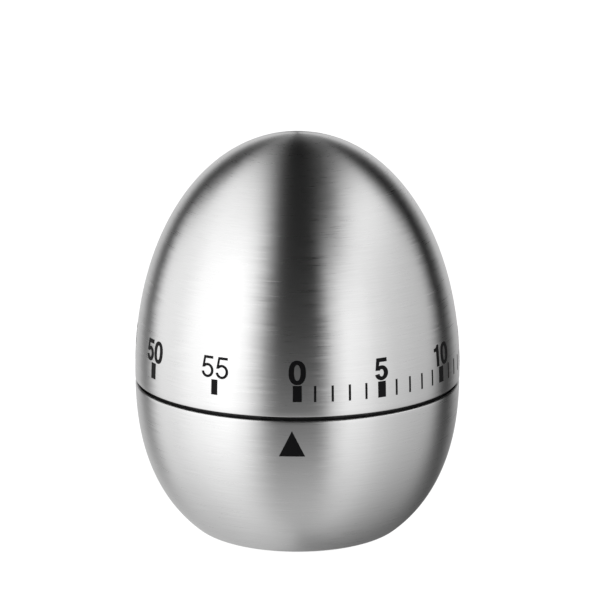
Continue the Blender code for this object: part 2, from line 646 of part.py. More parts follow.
def escape_arbor_group():
    fine_arbor("escape_arbor", ESCAPE_AXIS)
    fine_pinion("escape_pinion", ESCAPE_AXIS, THIRD, ESCAPE, (22.6, 24.2))
    quarter = 360 / ESCAPE_TEETH / 4
    facing = bearing(ESCAPE, PALLET) + PALLET_PIN_ANGLE + quarter
    wheel = pointed_outline(ESCAPE_TEETH, 3.3, ESCAPE_TIP, 2.4, 0.7, facing)
    flat("escape_wheel", [wheel, ring_points(0.58, ROD_STEPS)], (20.6, 21.2), "brass", ESCAPE_AXIS)


# ---------------------------------------------------------------- pallet body
def pallet_group():
    back = bearing(PALLET, ESCAPE)
    span = hypot(ESCAPE[0] - PALLET[0], ESCAPE[1] - PALLET[1])
    pins = [turned_to((span - PALLET_PIN_CIRCLE * cos(radians(PALLET_PIN_ANGLE)),
                       side * PALLET_PIN_CIRCLE * sin(radians(PALLET_PIN_ANGLE))), back)
            for side in (-1, 1)]
    fine_arbor("pallet_arbor", PALLET_AXIS)
    outline = []
    for centre in pins:
        facing = bearing(CENTRE, centre)
        outline += arc(centre, 0.55, facing - 90, facing + 90, 4)
        if centre is pins[0]:
            outline.append(polar(1.4, back))
    outline += arc(CENTRE, 1.1, back + 90, back + 270, 6)
    loops = [outline, ring_points(0.58, ROD_STEPS)] + [ring_points(0.26, PIN_STEPS, centre) for centre in pins]
    flat("pallet_anchor", loops, (21.8, 22.4), "white_acetal", PALLET_AXIS)
    for index, centre in enumerate(pins):
        rod = stepped_rod([(0.18, 22.4), (0.0, 20.3)])
        turned(f"pallet_pin_{index + 1}", rod, "movement_steel", PIN_STEPS, PALLET_AXIS, centre)
    inertia_bar(back + 90)


def inertia_bar(along):
    reach, weight, half_width, hub = 4.6, 1.1, 0.55, 1.2
    spread = 30
    outline = []
    for turn_by in (0, 180):
        end = polar(reach, along + turn_by)
        outline += arc(end, weight, along + turn_by - 180 + spread, along + turn_by + 180 - spread, 8)
        outline += arc(CENTRE, hub, along + turn_by + spread, along + turn_by + 180 - spread, 4)
    loops = [outline, ring_points(half_width + 0.03, ROD_STEPS)]
    flat("inertia_bar", loops, (24.4, 25.2), "brass", PALLET_AXIS)


# ---------------------------------------------------------------- strike body
def strike_group():
    rod = [(0.6, UPPER_PLATE[1]), (0.0, 8.8)]
    turned("strike_arbor", stepped_rod(rod), "movement_steel", PIN_STEPS, STRIKE_AXIS)
    back = bearing(STRIKE, SECOND)
    span = hypot(SECOND[0] - STRIKE[0], SECOND[1] - STRIKE[1])
    outline = []
    for side in (-1, 1):
        centre = turned_to((span - STRIKE_PIN_CIRCLE * cos(radians(STRIKE_PIN_ANGLE)),
                            side * STRIKE_PIN_CIRCLE * sin(radians(STRIKE_PIN_ANGLE))), back)
        facing = bearing(CENTRE, centre)
        outline += arc(centre, 0.3, facing - 90, facing + 90, 4)
        if side < 0:
            outline.append(polar(1.7, back))
    outline += arc(CENTRE, 1.3, back + 60, back + 300, 8)
    flat("strike_anchor", [outline, ring_points(0.68, ROD_STEPS)], (24.2, 25.0), "movement_steel", STRIKE_AXIS)


def hammer():
    head = polar(*HAMMER_PLACE)
    local = (head[0] - STRIKE[0], head[1] - STRIKE[1])
    reach, toward = hypot(*local), bearing(STRIKE, head)
    arm_level = (9.4, 10.0)
    arm = arc(CENTRE, 1.4, toward + 30, toward + 330, 10)
    arm += [turned_to((reach, -0.45), toward), turned_to((reach, 0.45), toward)]
    flat("hammer_arm", [arm, ring_points(0.68, ROD_STEPS)], arm_level, "movement_steel", STRIKE_AXIS)
    low, high = HAMMER_Z
    edge = 0.3
    profile = [(0.0, high), (HAMMER_RADIUS - edge, high), (HAMMER_RADIUS, high - edge),
               (HAMMER_RADIUS, low + edge), (HAMMER_RADIUS - edge, low), (0.0, low)]
    piece = turned("hammer_head", profile, "brass", 16, STRIKE_AXIS, local)
    slot = blocks("hammer_slot", [(6.0, 1.2, 0.9, reach - 2.8, toward, sum(arm_level) / 2)])
    boolean(piece, hide_cutter("hammer_slot", slot, STRIKE_AXIS), "DIFFERENCE")


# ---------------------------------------------------------------- trip lever
def trip_lever():
    nose = polar(CAM_RADIUS + 0.3, TRIP_ANGLE)
    tip = (nose[0] - TRIP[0], nose[1] - TRIP[1])
    tail_end = (STRIKE[0] - TRIP[0], STRIKE[1] - TRIP[1] - 1.6)
    outline = [tip, (tip[0] - 0.15, tip[1] - 0.6), (tip[0] + 0.9, tip[1] - 1.6), (-0.9, 2.2), (-2.2, 1.1)]
    outline += [(tail_end[0] - 0.6, tail_end[1] + 0.6), (tail_end[0] - 0.6, tail_end[1] - 0.6)]
    outline += arc(CENTRE, 1.7, 235, 370, 6)
    outline += [(tip[0] + 2.2, tip[1] - 1.2), (tip[0] + 1.8, tip[1] + 0.3), (tip[0] + 0.7, tip[1] + 0.6)]
    flat("trip_lever", [outline, ring_points(0.92, ROD_STEPS)], (16.8, 17.4), "movement_steel", TRIP_AXIS)


def trip_spring():
    points = [(*TRIP_SPRING_FOOT, 15.3), (*TRIP_SPRING_FOOT, 17.0), (-1.0, -10.6, 17.1), (-5.0, -11.4, 17.1)]
    wire("trip_spring", points, 0.18, "spring_steel")


clear_scene()
PARTS = make_collection("kitchen_timer")
CUTTERS = make_collection("kitchen_timer_cutters")
DIAL_AXIS = axis_empty("dial_axis", CENTRE)
MAIN_AXIS = axis_empty("main_wheel_axis", CENTRE)
CLICK_AXIS = axis_empty("click_axis", CLICK_PIVOT)
CLICK_AXIS.parent = MAIN_AXIS
SECOND_AXIS = axis_empty("second_axis", SECOND)
THIRD_AXIS = axis_empty("third_axis", THIRD)
ESCAPE_AXIS = axis_empty("escape_axis", ESCAPE)
PALLET_AXIS = axis_empty("pallet_axis", PALLET)
STRIKE_AXIS = axis_empty("strike_axis", STRIKE)
TRIP_AXIS = axis_empty("trip_axis", TRIP)

for make in (dial_shell, base_shell, dial_liner, base_housing, bottom_cover, foot_ring, cover_screws,
             mount_screws, lower_plate, upper_plate, pillars, posts_on_plates, mainspring, bell,
             bell_fixings, main_arbor, arbor_clip, cam_disc, ratchet_wheel, main_wheel, click,
             second_arbor_group, third_arbor_group, escape_arbor_group, pallet_group, strike_group,
             hammer, trip_lever, trip_spring):
    make()
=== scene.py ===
"""Looks of the egg-shaped kitchen timer: brushed shells, printed dial, underside and movement finishes."""
import json
from math import atan2, cos, hypot, pi, radians, sin

import bmesh
import bpy
from mathutils import Matrix, Vector


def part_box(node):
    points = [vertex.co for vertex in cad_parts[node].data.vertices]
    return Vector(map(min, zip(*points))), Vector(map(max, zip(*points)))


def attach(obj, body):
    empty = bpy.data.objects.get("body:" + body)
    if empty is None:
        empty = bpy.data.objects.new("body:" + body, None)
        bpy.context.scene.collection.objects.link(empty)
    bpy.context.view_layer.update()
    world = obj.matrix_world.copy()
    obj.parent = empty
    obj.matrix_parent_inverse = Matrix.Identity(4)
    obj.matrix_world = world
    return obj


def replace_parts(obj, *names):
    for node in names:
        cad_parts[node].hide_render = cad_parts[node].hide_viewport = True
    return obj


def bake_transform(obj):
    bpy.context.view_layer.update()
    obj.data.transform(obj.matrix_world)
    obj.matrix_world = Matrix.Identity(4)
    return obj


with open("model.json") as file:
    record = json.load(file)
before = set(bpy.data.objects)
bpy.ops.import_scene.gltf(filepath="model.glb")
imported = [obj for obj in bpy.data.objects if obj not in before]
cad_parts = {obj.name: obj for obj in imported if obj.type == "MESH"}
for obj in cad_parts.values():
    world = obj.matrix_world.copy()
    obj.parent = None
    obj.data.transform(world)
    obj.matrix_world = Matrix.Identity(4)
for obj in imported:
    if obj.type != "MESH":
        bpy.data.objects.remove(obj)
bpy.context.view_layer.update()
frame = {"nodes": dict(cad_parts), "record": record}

MM = 0.001

# ---------------------------------------------------------------- sizes read from the frame
DIAL_LOW, DIAL_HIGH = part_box("dial_shell")
BASE_LOW, BASE_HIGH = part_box("base_shell")
RADIUS = (DIAL_HIGH[0] - DIAL_LOW[0]) / 2
SEAM_HIGH = DIAL_LOW[2]
SEAM_LOW = BASE_HIGH[2]
TOP = DIAL_HIGH[2]

# ---------------------------------------------------------------- the egg's own shape
UPPER_HALF, UPPER_POWER = 44.5 * MM, 2.08     # half height and squareness above the widest level
EQUATOR = TOP - UPPER_HALF
LOWER_HALF, LOWER_POWER = 34.6 * MM, 2.37     # and below it
SHEET = 0.5 * MM                              # thickness of the steel
RIM_EDGE = 0.2 * MM                           # rounding of both shells' rims
AROUND = 256                                  # facets round the shells


def superellipse(radius, half, power, angle):
    """(radius, height) on a superellipse at a latitude-like angle in radians."""
    height = half * abs(sin(angle)) ** (2 / power) * (1 if angle >= 0 else -1)
    return radius * max(cos(angle), 0.0) ** (2 / power), height


def egg_point(angle, inset=0.0):
    """(radius, z) on the egg's outline moved inward; angle runs from pi/2 at the apex to below 0."""
    half, power = (UPPER_HALF, UPPER_POWER) if angle >= 0 else (LOWER_HALF, LOWER_POWER)
    radius, height = superellipse(RADIUS - inset, half - inset, power, angle)
    return radius, EQUATOR + height


def egg_angle(z, inset=0.0):
    """The outline angle at a height, the inverse of egg_point."""
    half, power = (UPPER_HALF, UPPER_POWER) if z >= EQUATOR else (LOWER_HALF, LOWER_POWER)
    sine = min(abs(z - EQUATOR) / (half - inset), 1.0) ** (power / 2)
    return atan2(sine, max(1 - sine * sine, 0.0) ** 0.5) * (1 if z >= EQUATOR else -1)


def outline(high, low, count, inset=0.0):
    """Points down the egg's side between two heights."""
    start, end = egg_angle(high, inset), egg_angle(low, inset)
    return [egg_point(start + (end - start) * step / count, inset) for step in range(count + 1)]


# ---------------------------------------------------------------- mesh helpers
def finish_mesh(build, name, material):
    """An object from a bmesh, which is used up."""
    bmesh.ops.recalc_face_normals(build, faces=build.faces)
    mesh = bpy.data.meshes.new(name)
    build.to_mesh(mesh)
    build.free()
    mesh.materials.append(material)
    piece = bpy.data.objects.new(name, mesh)
    bpy.context.scene.collection.objects.link(piece)
    return piece


def shade(piece, angle=35):
    piece.data.shade_smooth()
    piece.data.set_sharp_from_angle(angle=radians(angle))
    return piece


def lathe(name, profile, material, steps=AROUND):
    """Turn a closed or axis-to-axis profile of (radius, z) round Z; UV is turn share and length down it."""
    build = bmesh.new()
    uv = build.loops.layers.uv.new("brush")
    length = [0.0]
    for (r0, z0), (r1, z1) in zip(profile, profile[1:] + profile[:1]):
        length.append(length[-1] + hypot(r1 - r0, z1 - z0))
    rings = []
    for radius, z in profile:
        if radius < 1e-7:
            rings.append([build.verts.new((0.0, 0.0, z))])
        else:
            turns = [2 * pi * k / steps for k in range(steps)]
            rings.append([build.verts.new((radius * cos(turn), radius * sin(turn), z)) for turn in turns])
    closed = len(rings[0]) > 1
    pairs = [(k, k + 1) for k in range(len(rings) - 1)] + ([(len(rings) - 1, 0)] if closed else [])
    for upper, lower in pairs:
        top, bottom = rings[upper], rings[lower]
        v_top, v_bottom = length[upper], length[lower] if lower else length[-1]
        for k in range(steps):
            n = (k + 1) % steps
            corners = [(top[k % len(top)], k, v_top), (bottom[k % len(bottom)], k, v_bottom)]
            if len(bottom) > 1:
                corners.append((bottom[n], k + 1, v_bottom))
            if len(top) > 1:
                corners.append((top[n], k + 1, v_top))
            face = build.faces.new([corner[0] for corner in corners])
            for loop, (_, turn, v) in zip(face.loops, corners):
                loop[uv].uv = (turn / steps, v / MM)
    return shade(finish_mesh(build, name, material))


def corner_arc(centre, radius, start, end, count=5):
    """(radius, z) points of a rounded edge."""
    return [(centre[0] + radius * cos(radians(start + (end - start) * k / count)),
             centre[1] + radius * sin(radians(start + (end - start) * k / count))) for k in range(count + 1)]


# ---------------------------------------------------------------- materials
def new_material(name, colour, roughness, metallic=0.0):
    material = bpy.data.materials.new(name)
    material.use_nodes = True
    shader = material.node_tree.nodes["Principled BSDF"]
    shader.inputs["Base Color"].default_value = (*colour, 1.0)
    shader.inputs["Roughness"].default_value = roughness
    shader.inputs["Metallic"].default_value = metallic
    return material, material.node_tree, shader


def node(tree, kind, **settings):
    """A new node, with settings given by socket name or, failing that, by property name."""
    made = tree.nodes.new(kind)
    for key, value in settings.items():
        if key in made.inputs:
            made.inputs[key].default_value = value
        else:
            setattr(made, key, value)
    return made


def calc(tree, operation, first, second=None):
    made = tree.nodes.new("ShaderNodeMath")
    made.operation = operation
    for socket, value in zip(made.inputs, (first, second)):
        if value is None:
            continue
        if isinstance(value, (int, float)):
            socket.default_value = value
        else:
            tree.links.new(value, socket)
    return made.outputs[0]


def vector_math(tree, operation, first, second=None, scale=None):
    made = tree.nodes.new("ShaderNodeVectorMath")
    made.operation = operation
    for socket, value in zip(made.inputs, (first, second)):
        if value is None:
            continue
        if isinstance(value, tuple):
            socket.default_value = value
        else:
            tree.links.new(value, socket)
    if scale is not None:
        if isinstance(scale, (int, float)):
            made.inputs["Scale"].default_value = scale
        else:
            tree.links.new(scale, made.inputs["Scale"])
    return made.outputs["Value" if operation == "DOT_PRODUCT" else "Vector"]


def combine(tree, x, y, z):
    made = tree.nodes.new("ShaderNodeCombineXYZ")
    for socket, value in zip(made.inputs, (x, y, z)):
        if isinstance(value, (int, float)):
            socket.default_value = value
        else:
            tree.links.new(value, socket)
    return made.outputs[0]


def noise(tree, vector, scale, detail=3.0, rough=0.5):
    made = node(tree, "ShaderNodeTexNoise", Scale=scale, Detail=detail, Roughness=rough)
    tree.links.new(vector, made.inputs["Vector"])
    return made.outputs["Fac"]


def spread(tree, value, low, high):
    """Map a 0..1 value onto low..high."""
    made = node(tree, "ShaderNodeMapRange")
    made.inputs["To Min"].default_value = low
    made.inputs["To Max"].default_value = high
    tree.links.new(value, made.inputs["Value"])
    return made.outputs[0]


def brushed_steel(name):
    """Stainless steel brushed round the Z axis, with streaks that scatter light up and down the egg."""
    material, tree, shader = new_material(name, (0.64, 0.64, 0.64), 0.30, 1.0)
    shader.inputs["Anisotropic"].default_value = 0.9
    shader.inputs["Anisotropic Rotation"].default_value = 0.25
    links = tree.links
    tangent = node(tree, "ShaderNodeTangent", direction_type="RADIAL", axis="Z")
    links.new(tangent.outputs[0], shader.inputs["Tangent"])
    place = node(tree, "ShaderNodeTexCoord")
    uv = node(tree, "ShaderNodeUVMap", uv_map="brush")
    down = node(tree, "ShaderNodeSeparateXYZ")
    links.new(uv.outputs[0], down.inputs[0])
    round_way = vector_math(tree, "NORMALIZE", vector_math(tree, "MULTIPLY", place.outputs["Object"],
                                                           (1.0, 1.0, 0.0)))

    def streaks(length_share, per_mm, detail):
        """Noise drawn out round the egg; more length_share means shorter streaks."""
        point = vector_math(tree, "ADD", vector_math(tree, "SCALE", round_way, scale=length_share),
                            combine(tree, 0.0, 0.0, calc(tree, "MULTIPLY", down.outputs["Y"], per_mm)))
        return noise(tree, point, 1.0, detail, 0.6)

    broad, fine = streaks(1.6, 1.6, 3.0), streaks(5.0, 7.0, 3.0)
    both = calc(tree, "ADD", calc(tree, "MULTIPLY", broad, 0.35), calc(tree, "MULTIPLY", fine, 0.65))
    links.new(spread(tree, both, 0.22, 0.36), shader.inputs["Roughness"])
    tint = node(tree, "ShaderNodeMix", data_type="RGBA")
    tint.inputs["A"].default_value = (0.57, 0.57, 0.57, 1.0)
    tint.inputs["B"].default_value = (0.71, 0.71, 0.71, 1.0)
    links.new(fine, tint.inputs["Factor"])
    links.new(tint.outputs["Result"], shader.inputs["Base Color"])
    lean = calc(tree, "MULTIPLY", calc(tree, "SUBTRACT", both, 0.5), 0.12)
    geometry = node(tree, "ShaderNodeNewGeometry")
    sideways = vector_math(tree, "CROSS_PRODUCT", (0.0, 0.0, 1.0), geometry.outputs["Normal"])
    leaned = vector_math(tree, "ADD", geometry.outputs["Normal"],
                         vector_math(tree, "SCALE", sideways, scale=lean))
    links.new(vector_math(tree, "NORMALIZE", leaned), shader.inputs["Normal"])
    return material


def printed_ink(name):
    material, tree, shader = new_material(name, (0.004, 0.004, 0.0045), 0.45)
    shader.inputs["Specular IOR Level"].default_value = 0.08
    place = node(tree, "ShaderNodeTexCoord")
    grain = noise(tree, place.outputs["Object"], 9000.0)
    tree.links.new(spread(tree, grain, 0.34, 0.52), shader.inputs["Roughness"])
    return material


def moulded(name, colour, roughness, grain_size, depth):
    """Moulded plastic or rubber with a fine grain."""
    material, tree, shader = new_material(name, colour, roughness)
    place = node(tree, "ShaderNodeTexCoord")
    grain = noise(tree, place.outputs["Object"], 1.0 / grain_size)
    tree.links.new(spread(tree, grain, roughness - 0.08, roughness + 0.08), shader.inputs["Roughness"])
    bump = node(tree, "ShaderNodeBump", Strength=0.35, Distance=depth)
    tree.links.new(grain, bump.inputs["Height"])
    tree.links.new(bump.outputs[0], shader.inputs["Normal"])
    return material


def machined(name, colour, roughness, shift=0.08, grain_size=0.0004, stretch=(1.0, 1.0, 1.0)):
    """Bare or plated metal with rolling marks and a slightly uneven sheen."""
    material, tree, shader = new_material(name, colour, roughness, 1.0)
    place = node(tree, "ShaderNodeTexCoord")
    marks = vector_math(tree, "MULTIPLY", place.outputs["Object"], stretch)
    fine = noise(tree, marks, 1.0 / grain_size, 4.0, 0.6)
    cloud = noise(tree, place.outputs["Object"], 220.0, 2.0)
    tree.links.new(spread(tree, fine, roughness - shift, roughness + shift), shader.inputs["Roughness"])
    tint = node(tree, "ShaderNodeMix", data_type="RGBA")
    tint.inputs["A"].default_value = (*[value * 0.82 for value in colour], 1.0)
    tint.inputs["B"].default_value = (*[min(value * 1.12, 1.0) for value in colour], 1.0)
    tree.links.new(cloud, tint.inputs["Factor"])
    tree.links.new(tint.outputs["Result"], shader.inputs["Base Color"])
    bump = node(tree, "ShaderNodeBump", Strength=0.2, Distance=0.00003)
    tree.links.new(fine, bump.inputs["Height"])
    tree.links.new(bump.outputs[0], shader.inputs["Normal"])
    return material


STEEL = brushed_steel("brushed_stainless")
INK = printed_ink("dial_ink")
SLOT_FINISH = {
    "shell_steel": STEEL,
    "black_plastic": moulded("black_abs", (0.012, 0.012, 0.013), 0.42, 0.0003, 0.00002),
    "foot_rubber": moulded("foot_rubber", (0.022, 0.022, 0.024), 0.78, 0.0005, 0.00004),
    "plate_steel": machined("zinc_plated_steel", (0.56, 0.57, 0.59), 0.36, stretch=(1.0, 0.08, 1.0)),
    "screw_steel": machined("zinc_screws", (0.58, 0.58, 0.58), 0.30),
    "arbor_steel": machined("bright_steel", (0.50, 0.50, 0.51), 0.26, stretch=(0.3, 0.3, 1.0)),
    "spring_steel": machined("blued_spring_steel", (0.10, 0.13, 0.22), 0.28),
    "brass": machined("stamped_brass", (0.78, 0.55, 0.22), 0.28),
    "bell_metal": machined("nickel_bell", (0.70, 0.69, 0.66), 0.16, 0.05),
    "acetal": moulded("white_acetal", (0.76, 0.75, 0.70), 0.40, 0.0004, 0.00002),
}


def finish_cad_nodes():
    for entry in frame["record"]["subparts"]:
        mesh = frame["nodes"][entry["node"]].data
        mesh.materials.clear()
        mesh.materials.append(SLOT_FINISH[entry["material_slot"]])


# ---------------------------------------------------------------- shells
def dial_skin():
    edge = RIM_EDGE
    low_radius = egg_point(egg_angle(SEAM_HIGH + edge))[0]
    outer = outline(TOP, SEAM_HIGH + edge, 110)
    rim = corner_arc((low_radius - edge, SEAM_HIGH + edge), edge, 0, -90)
    rim += corner_arc((low_radius - SHEET + edge / 2, SEAM_HIGH + edge / 2), edge / 2, -90, -180, 3)
    inner = outline(TOP - SHEET, SEAM_HIGH + edge, 40, SHEET)[::-1]
    piece = lathe("dial_skin", outer + rim[1:] + inner, STEEL)
    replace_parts(piece, "dial_shell")
    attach(piece, "dial")


def bend(start, control, end, count=12):
    """Points on a smooth corner between two points, leaving out the first."""
    points = []
    for step in range(1, count + 1):
        t = step / count
        points.append(tuple((1 - t) ** 2 * p + 2 * t * (1 - t) * c + t * t * q
                            for p, c, q in zip(start, control, end)))
    return points


def base_skin():
    """The lower shell: its side, the turn in to the underside, the fold up, and the lip that holds the housing."""
    edge = RIM_EDGE
    side_end = 2.1 * MM                                       # where the side starts to turn in
    corner, flat = (18.14 * MM, 0.87 * MM), 15.3 * MM         # the turn's control point and its end
    roll_radius = 0.45 * MM
    fold, lip, lip_bottom, lip_top = 14.8 * MM, 13.6 * MM, 2.2 * MM, 2.7 * MM
    high_radius = egg_point(egg_angle(SEAM_LOW - edge))[0]
    rim = corner_arc((high_radius - SHEET + edge / 2, SEAM_LOW - edge / 2), edge / 2, 180, 90, 3)
    rim += corner_arc((high_radius - edge, SEAM_LOW - edge), edge, 90, 0)
    outer = outline(SEAM_LOW - edge, side_end, 80)
    turn_in = bend(outer[-1], corner, (flat, BASE_LOW[2]))
    roll = corner_arc((fold + roll_radius, BASE_LOW[2] + roll_radius), roll_radius, -95, -180, 5)
    flange = [(fold, lip_bottom), (lip, lip_bottom), (lip, lip_top), (fold + SHEET, lip_top)]
    inside = [(fold + SHEET, 1.3 * MM), (16.15 * MM, 1.3 * MM), (17.1 * MM, 1.47 * MM), (18.27 * MM, 1.86 * MM)]
    inner = outline(SEAM_LOW - edge, 2.4 * MM, 40, SHEET)[::-1]
    piece = lathe("base_skin", rim + outer[1:] + turn_in + roll + flange + inside + inner, STEEL)
    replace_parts(piece, "base_shell")
    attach(piece, "base")


# ---------------------------------------------------------------- underside
COVER_SCREWS = (90, 210, 330)
COVER_SCREW_PLACE = 9.2 * MM


def fitted(piece, node_name):
    """A fixed piece of the base, shown in place of the CAD one."""
    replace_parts(piece, node_name)
    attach(piece, "base")


def carve(piece, shapes):
    """Cut upright cylinders (radius, x, y, bottom, top) and bars (length, width, distance, degrees, bottom, top)."""
    build = bmesh.new()
    for shape in shapes:
        bottom, top = shape[-2:]
        middle, height = (bottom + top) / 2, top - bottom
        if len(shape) == 5:
            radius, x, y = shape[:3]
            bmesh.ops.create_cone(build, cap_ends=True, segments=48, radius1=radius, radius2=radius, depth=height,
                                  matrix=Matrix.Translation((x, y, middle)))
        else:
            length, width, distance, degrees = shape[:4]
            place = Matrix.Rotation(radians(degrees), 4, "Z") @ Matrix.Translation((distance, 0.0, middle))
            bmesh.ops.create_cube(build, size=1.0, matrix=place @ Matrix.Diagonal((length, width, height, 1.0)))
    cutter = finish_mesh(build, "cutter", piece.data.materials[0])
    change = piece.modifiers.new("carve", "BOOLEAN")
    change.operation, change.solver, change.object = "DIFFERENCE", "EXACT", cutter
    bpy.context.view_layer.update()
    carved = bpy.data.meshes.new_from_object(piece.evaluated_get(bpy.context.evaluated_depsgraph_get()))
    piece.modifiers.clear()
    spare, piece.data = piece.data, carved
    bpy.data.meshes.remove(spare)
    bpy.data.objects.remove(cutter, do_unlink=True)
    return shade(piece)


def screw_place(angle):
    """A cover screw's centre."""
    return COVER_SCREW_PLACE * cos(radians(angle)), COVER_SCREW_PLACE * sin(radians(angle))


def foot():
    low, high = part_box("foot_ring")
    inner, outer, edge = 11.2 * MM, high[0], 0.25 * MM
    profile = [(outer, high[2])] + corner_arc((outer - edge, low[2] + edge), edge, 0, -90)
    profile += corner_arc((inner + edge, low[2] + edge), edge, -90, -180) + [(inner, high[2])]
    fitted(lathe("foot_skin", profile, SLOT_FINISH["foot_rubber"]), "foot_ring")


def cover():
    low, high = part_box("bottom_cover")
    top, register_top, rim = 1.9 * MM, high[2], high[0]
    register, edge = 13.3 * MM, 0.25 * MM
    groove = (10.9 * MM, 13.5 * MM, 1.45 * MM)
    register_inner = register - 1.1 * MM
    profile = [(0.0, top), (register_inner, top), (register_inner, register_top), (register, register_top),
               (register, top), (rim, top)]
    profile += corner_arc((rim - edge, low[2] + edge), edge, 0, -90)
    groove_inner, groove_outer, groove_top = groove
    profile += [(groove_outer, low[2]), (groove_outer, groove_top), (groove_inner, groove_top),
                (groove_inner, low[2]), (0.0, low[2])]
    piece = lathe("cover_skin", profile, SLOT_FINISH["black_plastic"], 192)
    under = low[2] - MM
    through, counterbore_top = 3.0 * MM, 1.3 * MM
    slot_length, slot_width, slot_place = 4.0 * MM, 1.2 * MM, 4.7 * MM
    shapes = [(slot_length, slot_width, slot_place, 15 + 30 * index, under, through) for index in range(12)]
    for angle in COVER_SCREWS:
        shapes += [(1.95 * MM, *screw_place(angle), under, counterbore_top),
                   (1.0 * MM, *screw_place(angle), under, through)]
    fitted(carve(piece, shapes), "bottom_cover")


def cover_screws():
    low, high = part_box("cover_screw_1")
    head, shank, shoulder, edge = 1.65 * MM, 0.8 * MM, 1.2 * MM, 0.15 * MM
    for index, angle in enumerate(COVER_SCREWS):
        profile = [(0.0, high[2]), (shank, high[2]), (shank, shoulder), (head, shoulder)]
        profile += corner_arc((head - edge, low[2] + edge), edge, 0, -90) + [(0.0, low[2])]
        piece = lathe(f"cover_screw_skin_{index + 1}", profile, SLOT_FINISH["screw_steel"], 48)
        drive_slot = (5.0 * MM, 0.4 * MM, 0.0, 35, low[2] - MM, low[2] + 0.35 * MM)
        piece = carve(piece, [drive_slot])
        x, y = screw_place(angle)
        piece.data.transform(Matrix.Translation((x, y, 0.0)))
        fitted(piece, f"cover_screw_{index + 1}")


# ---------------------------------------------------------------- printing
def ellipse(centre, radii, start, end, count, power=2.0):
    """Points on an ellipse or superellipse from one angle to another, in degrees."""
    points = []
    for step in range(count + 1):
        angle = radians(start + (end - start) * step / count)
        c, s = cos(angle), sin(angle)
        x = abs(c) ** (2 / power) * (1 if c >= 0 else -1)
        y = abs(s) ** (2 / power) * (1 if s >= 0 else -1)
        points.append((centre[0] + radii[0] * x, centre[1] + radii[1] * y))
    return points


def digit_shapes():
    """Outlines of the digits 0 to 5 on a height of 1, each as an outer loop and its holes, and a thinner 5."""
    zero = [ellipse((0, 0.5), (0.365, 0.515), 0, 352, 44, 2.3),
            ellipse((0, 0.5), (0.135, 0.335), 0, 350, 35, 2.2)]
    one = [[(0.0, 0.0), (0.225, 0.0), (0.225, 1.0), (0.06, 1.0), (0.035, 0.935), (-0.02, 0.885),
            (-0.09, 0.86), (-0.19, 0.85), (-0.19, 0.70), (0.0, 0.70)]]
    two = [ellipse((0.0, 0.69), (0.335, 0.325), 185, -20, 20)
           + [(0.265, 0.475), (0.17, 0.375), (0.03, 0.265), (-0.03, 0.19), (0.34, 0.19), (0.34, 0.0),
              (-0.345, 0.0), (-0.325, 0.13), (-0.26, 0.245), (-0.14, 0.355), (0.02, 0.475), (0.09, 0.56)]
           + ellipse((0.0, 0.69), (0.11, 0.155), -25, 185, 14)]
    three = [ellipse((-0.01, 0.73), (0.305, 0.285), 178, -36, 20) + [(0.175, 0.53)]
             + ellipse((0.0, 0.295), (0.335, 0.31), 46, -174, 22)
             + ellipse((0.0, 0.295), (0.115, 0.145), -174, 90, 16)
             + [(-0.085, 0.44), (-0.085, 0.595)] + ellipse((-0.01, 0.73), (0.09, 0.135), -90, 178, 16)]
    four = [[(0.03, 1.0), (0.235, 1.0), (0.235, 0.385), (0.345, 0.385), (0.345, 0.205), (0.235, 0.205),
             (0.235, 0.0), (0.02, 0.0), (0.02, 0.205), (-0.355, 0.205), (-0.355, 0.395)],
            [(0.02, 0.70), (-0.185, 0.385), (0.02, 0.385)]]
    five = [[(-0.25, 1.0), (0.29, 1.0), (0.29, 0.815), (-0.095, 0.815), (-0.13, 0.63)]
            + ellipse((-0.005, 0.325), (0.345, 0.34), 108, -168, 26)
            + ellipse((-0.005, 0.325), (0.115, 0.165), -168, 138, 16) + [(-0.315, 0.44)]]
    light_five = [[(-0.215, 0.985), (0.265, 0.985), (0.265, 0.865), (-0.125, 0.865), (-0.155, 0.625)]
                  + ellipse((-0.01, 0.325), (0.32, 0.325), 110, -168, 26)
                  + ellipse((-0.01, 0.325), (0.19, 0.21), -168, 140, 16) + [(-0.295, 0.44)]]
    return {"0": zero, "1": one, "2": two, "3": three, "4": four, "5": five, "light 5": light_five}


PRINT_DEPTH = 0.04 * MM
PRINT_GRID = 0.4 * MM      # size of the cells that let a print follow the shell
TICK_FOOT = 2.8 * MM       # above the dial's rim, along the surface
TICK_TALL = 2.9 * MM
TICK_GRID = 0.5 * MM
WIDE_TICK, LIGHT_TICK, FINE_TICK = 1.6 * MM, 1.25 * MM, 0.42 * MM
NUMBER_GAP = 0.22 * MM     # from a mark up to its number
NUMBER_TALL = 3.95 * MM
ZERO_TALL = 4.2 * MM
DIGIT_PITCH = 2.95 * MM
SLANT = 0.35 * MM          # the print sits this much lower at 15 and higher at 45; 0 makes it level
LIGHT_MINUTE = 55          # printed thinner than the others and turned a little past its place
LIGHT_TURN = 0.7           # degrees
LIGHT_TICK_FOOT = 0.15 * MM
LAST_FINE_MARK = 14


